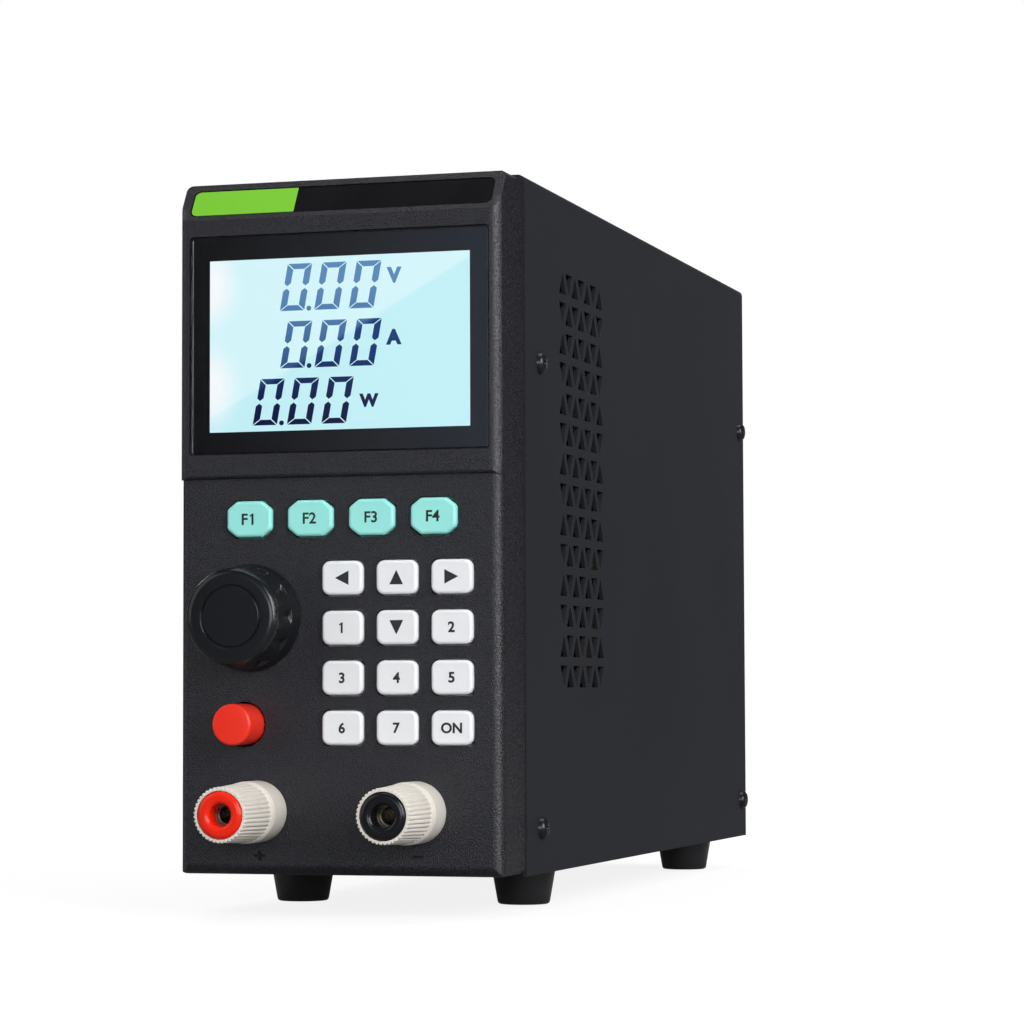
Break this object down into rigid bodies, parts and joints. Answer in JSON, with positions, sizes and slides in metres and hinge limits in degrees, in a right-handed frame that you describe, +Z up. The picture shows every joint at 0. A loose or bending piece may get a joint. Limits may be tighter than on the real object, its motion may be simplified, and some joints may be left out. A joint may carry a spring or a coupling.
{
  "type": "dc electronic load",
  "caption": "Narrow bench DC electronic load: black steel case, moulded bezel with lit display, push keys, knob, power button and binding posts.",
  "frame": {"origin": "middle of the whole footprint, on the bench under the feet", "axes": "+X to the right seen from the front, +Y to the rear, +Z up"},
  "size_m": [0.079, 0.2672, 0.164],
  "materials": {
    "bezel_plastic": "fine grained black moulding",
    "strip_gloss": "glossy black overlay",
    "tab_green": "glossy green print",
    "window_glass": "clear acrylic with a dark printed border",
    "lcd_cell": "backlit pale cyan cell",
    "circuit_board": "green solder mask",
    "plated_steel": "zinc plated",
    "switch_plastic": "black moulding",
    "knob_gloss": "glossy black moulding",
    "button_red": "satin red moulding",
    "post_ivory": "off-white nylon",
    "brass": "turned brass",
    "core_red": "glossy red moulding",
    "core_black": "glossy black moulding",
    "case_paint": "satin black powder coat on steel sheet",
    "foot_rubber": "moulded black rubber",
    "black_screw": "black oxide",
    "fan_plastic": "glass filled black nylon",
    "guard_wire": "bright plated",
    "inlet_plastic": "black moulding",
    "sink_aluminium": "extruded",
    "can_sleeve": "shrink sleeve",
    "core_steel": "varnished laminations",
    "coil_tape": "amber tape",
    "lead_red": "silicone sleeve",
    "lead_black": "silicone sleeve",
    "ribbon_grey": "ribbon cable",
    "key_white": "satin white moulding",
    "key_cyan": "satin cyan moulding"
  },
  "bodies": {
    "case": {"front_bezel": "bezel_plastic", "label_strip": "strip_gloss", "label_tab": "tab_green", "display_window": "window_glass", "lcd_panel": "lcd_cell", "front_board": "circuit_board", "board_screws": "plated_steel", "key_switches": "switch_plastic", "encoder_body": "plated_steel", "power_switch": "switch_plastic", "post_collars": "post_ivory", "red_stud": "brass", "black_stud": "brass", "post_nuts": "brass", "base_chassis": "case_paint", "top_cover": "case_paint", "rear_panel": "case_paint", "feet": "foot_rubber", "case_screws": "black_screw", "fan_frame": "fan_plastic", "fan_guard": "guard_wire", "fan_screws": "plated_steel", "power_inlet": "inlet_plastic", "inlet_pins": "guard_wire", "comm_port": "plated_steel", "heat_sink": "sink_aluminium", "power_transistors": "switch_plastic", "sink_posts": "brass", "main_board": "circuit_board", "filter_capacitors": "can_sleeve", "transformer_core": "core_steel", "transformer_coil": "coil_tape", "red_lead": "lead_red", "black_lead": "lead_black", "ribbon_cable": "ribbon_grey"},
    "knob": {"knob": "knob_gloss", "encoder_shaft": "plated_steel"},
    "power_button": {"power_button": "button_red"},
    "fan_rotor": {"fan_rotor": "fan_plastic"},
    "fuse_drawer": {"fuse_drawer": "inlet_plastic"},
    "red_core": {"red_core": "core_red"},
    "red_grip": {"red_grip": "post_ivory"},
    "black_core": {"black_core": "core_black"},
    "black_grip": {"black_grip": "post_ivory"},
    "key_1": {"key_1": "key_white"},
    "key_2": {"key_2": "key_white"},
    "key_3": {"key_3": "key_white"},
    "key_4": {"key_4": "key_white"},
    "key_5": {"key_5": "key_white"},
    "key_6": {"key_6": "key_white"},
    "key_7": {"key_7": "key_white"},
    "key_8": {"key_8": "key_white"},
    "key_9": {"key_9": "key_white"},
    "key_10": {"key_10": "key_white"},
    "key_11": {"key_11": "key_white"},
    "key_12": {"key_12": "key_white"},
    "mode_key_1": {"mode_key_1": "key_cyan"},
    "mode_key_2": {"mode_key_2": "key_cyan"},
    "mode_key_3": {"mode_key_3": "key_cyan"},
    "mode_key_4": {"mode_key_4": "key_cyan"}
  },
  "joints": [
    {"name": "knob_turn", "type": "hinge", "parent": "case", "child": "knob", "pos_m": [-0.0207, -0.1114, 0.0653], "axis": [0, -1, 0], "continuous": true},
    {"name": "power_press", "type": "slide", "parent": "case", "child": "power_button", "axis": [0, 1, 0], "range_m": [0, 0.003], "stiffness_N_per_m": 700},
    {"name": "fan_spin", "type": "hinge", "parent": "case", "child": "fan_rotor", "pos_m": [0, 0.1136, 0.1155], "axis": [0, 1, 0], "continuous": true},
    {"name": "fuse_pull", "type": "slide", "parent": "case", "child": "fuse_drawer", "axis": [0, 1, 0], "range_m": [0, 0.016]},
    {"name": "red_core_slide", "type": "slide", "parent": "case", "child": "red_core", "axis": [0, -1, 0], "range_m": [0, 0.004]},
    {"name": "red_grip_turn", "type": "hinge", "parent": "red_core", "child": "red_grip", "pos_m": [-0.0189, -0.1254, 0.0226], "axis": [0, -1, 0], "range_deg": [0, 1440]},
    {"name": "black_core_slide", "type": "slide", "parent": "case", "child": "black_core", "axis": [0, -1, 0], "range_m": [0, 0.004]},
    {"name": "black_grip_turn", "type": "hinge", "parent": "black_core", "child": "black_grip", "pos_m": [0.0179, -0.1254, 0.0226], "axis": [0, -1, 0], "range_deg": [0, 1440]},
    {"name": "key_1_press", "type": "slide", "parent": "case", "child": "key_1", "axis": [0, 1, 0], "range_m": [0, 0.0006], "stiffness_N_per_m": 900},
    {"name": "key_2_press", "type": "slide", "parent": "case", "child": "key_2", "axis": [0, 1, 0], "range_m": [0, 0.0006], "stiffness_N_per_m": 900},
    {"name": "key_3_press", "type": "slide", "parent": "case", "child": "key_3", "axis": [0, 1, 0], "range_m": [0, 0.0006], "stiffness_N_per_m": 900},
    {"name": "key_4_press", "type": "slide", "parent": "case", "child": "key_4", "axis": [0, 1, 0], "range_m": [0, 0.0006], "stiffness_N_per_m": 900},
    {"name": "key_5_press", "type": "slide", "parent": "case", "child": "key_5", "axis": [0, 1, 0], "range_m": [0, 0.0006], "stiffness_N_per_m": 900},
    {"name": "key_6_press", "type": "slide", "parent": "case", "child": "key_6", "axis": [0, 1, 0], "range_m": [0, 0.0006], "stiffness_N_per_m": 900},
    {"name": "key_7_press", "type": "slide", "parent": "case", "child": "key_7", "axis": [0, 1, 0], "range_m": [0, 0.0006], "stiffness_N_per_m": 900},
    {"name": "key_8_press", "type": "slide", "parent": "case", "child": "key_8", "axis": [0, 1, 0], "range_m": [0, 0.0006], "stiffness_N_per_m": 900},
    {"name": "key_9_press", "type": "slide", "parent": "case", "child": "key_9", "axis": [0, 1, 0], "range_m": [0, 0.0006], "stiffness_N_per_m": 900},
    {"name": "key_10_press", "type": "slide", "parent": "case", "child": "key_10", "axis": [0, 1, 0], "range_m": [0, 0.0006], "stiffness_N_per_m": 900},
    {"name": "key_11_press", "type": "slide", "parent": "case", "child": "key_11", "axis": [0, 1, 0], "range_m": [0, 0.0006], "stiffness_N_per_m": 900},
    {"name": "key_12_press", "type": "slide", "parent": "case", "child": "key_12", "axis": [0, 1, 0], "range_m": [0, 0.0006], "stiffness_N_per_m": 900},
    {"name": "mode_key_1_press", "type": "slide", "parent": "case", "child": "mode_key_1", "axis": [0, 1, 0], "range_m": [0, 0.0006], "stiffness_N_per_m": 900},
    {"name": "mode_key_2_press", "type": "slide", "parent": "case", "child": "mode_key_2", "axis": [0, 1, 0], "range_m": [0, 0.0006], "stiffness_N_per_m": 900},
    {"name": "mode_key_3_press", "type": "slide", "parent": "case", "child": "mode_key_3", "axis": [0, 1, 0], "range_m": [0, 0.0006], "stiffness_N_per_m": 900},
    {"name": "mode_key_4_press", "type": "slide", "parent": "case", "child": "mode_key_4", "axis": [0, 1, 0], "range_m": [0, 0.0006], "stiffness_N_per_m": 900}
  ],
  "couplings": [
    {"joint": "red_grip_turn", "follows": "red_core_slide", "rad_per_m": 6283.2},
    {"joint": "black_grip_turn", "follows": "black_core_slide", "rad_per_m": 6283.2}
  ]
}
